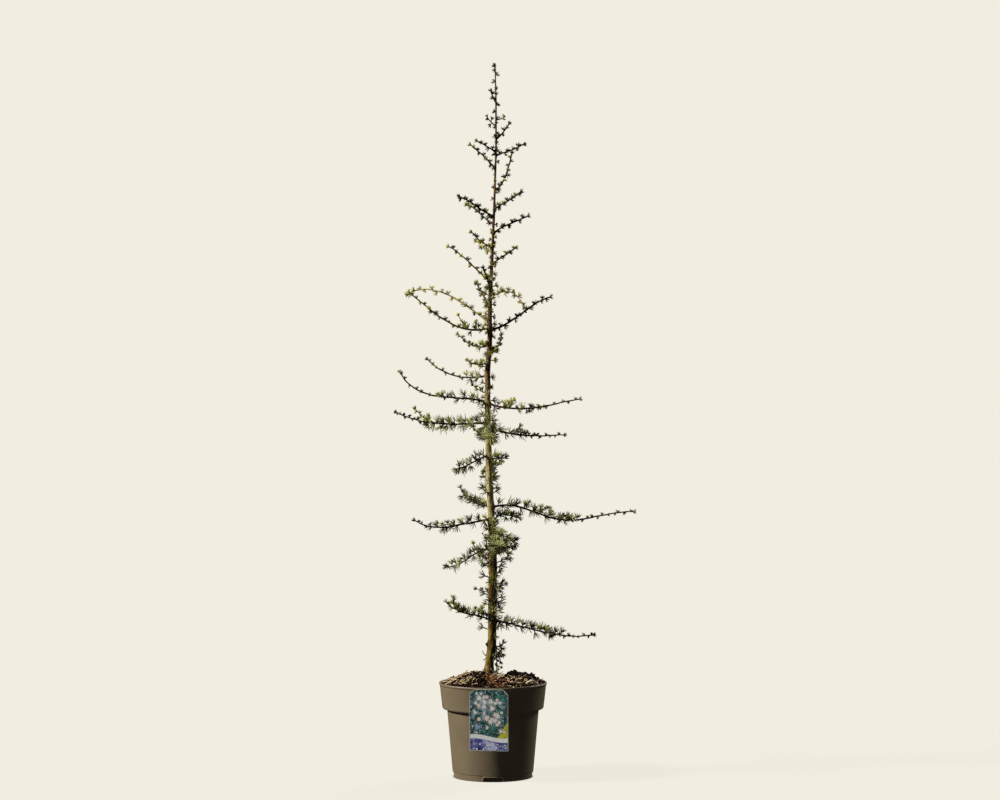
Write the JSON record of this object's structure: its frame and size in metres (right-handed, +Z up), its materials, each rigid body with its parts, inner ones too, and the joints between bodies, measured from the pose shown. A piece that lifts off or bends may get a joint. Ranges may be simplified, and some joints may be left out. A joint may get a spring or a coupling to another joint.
{
  "type": "potted blue cedar of lebanon",
  "caption": "Slim young blue cedar with upswept, needle-tufted shoots round one straight trunk, standing in a round nursery pot of bark mulch with a picture label.",
  "frame": {"origin": "middle of the pot's flat underside, on the ground that it stands on", "axes": "+Z up along the trunk, -Y to the front with the label, +X to the viewer's right"},
  "size_m": [0.495, 0.3871, 1.452],
  "materials": {
    "pot_plastic": "satin",
    "label_print": "printed",
    "mulch": "rough",
    "bark": "rough",
    "needles": "matte"
  },
  "bodies": {
    "root": {"bough_left_arching": "bark", "bough_left_dense": "bark", "bough_left_long_high": "bark", "bough_left_long_low": "bark", "bough_left_low": "bark", "bough_left_upper_long": "bark", "bough_right_level": "bark", "bough_right_longest": "bark", "bough_right_low": "bark", "bough_right_middle": "bark", "foliage_back_drooping": "needles", "foliage_back_high": "needles", "foliage_back_level": "needles", "foliage_back_low": "needles", "foliage_back_middle": "needles", "foliage_back_rising": "needles", "foliage_front_high": "needles", "foliage_front_low": "needles", "foliage_front_middle": "needles", "foliage_front_short": "needles", "foliage_leader": "needles", "foliage_left_arching": "needles", "foliage_left_dense": "needles", "foliage_left_drooping": "needles", "foliage_left_high_back": "needles", "foliage_left_high_front": "needles", "foliage_left_high_long": "needles", "foliage_left_long_high": "needles", "foliage_left_long_low": "needles", "foliage_left_low": "needles", "foliage_left_pair_back": "needles", "foliage_left_pair_front": "needles", "foliage_left_rising": "needles", "foliage_left_sage": "needles", "foliage_left_short_droop": "needles", "foliage_left_short_low": "needles", "foliage_left_top_long": "needles", "foliage_left_top_short": "needles", "foliage_left_twiggy": "needles", "foliage_left_upper_long": "needles", "foliage_right_arching": "needles", "foliage_right_drooping_back": "needles", "foliage_right_drooping_front": "needles", "foliage_right_high_back": "needles", "foliage_right_high_front": "needles", "foliage_right_level": "needles", "foliage_right_longest": "needles", "foliage_right_low": "needles", "foliage_right_middle": "needles", "foliage_right_rising": "needles", "foliage_right_short_low": "needles", "foliage_right_top_back": "needles", "foliage_right_top_front": "needles", "foliage_right_upper_front": "needles", "foliage_right_upright": "needles", "label": "label_print", "mulch": "mulch", "pot": "pot_plastic", "trunk": "bark"}
  },
  "joints": []
}
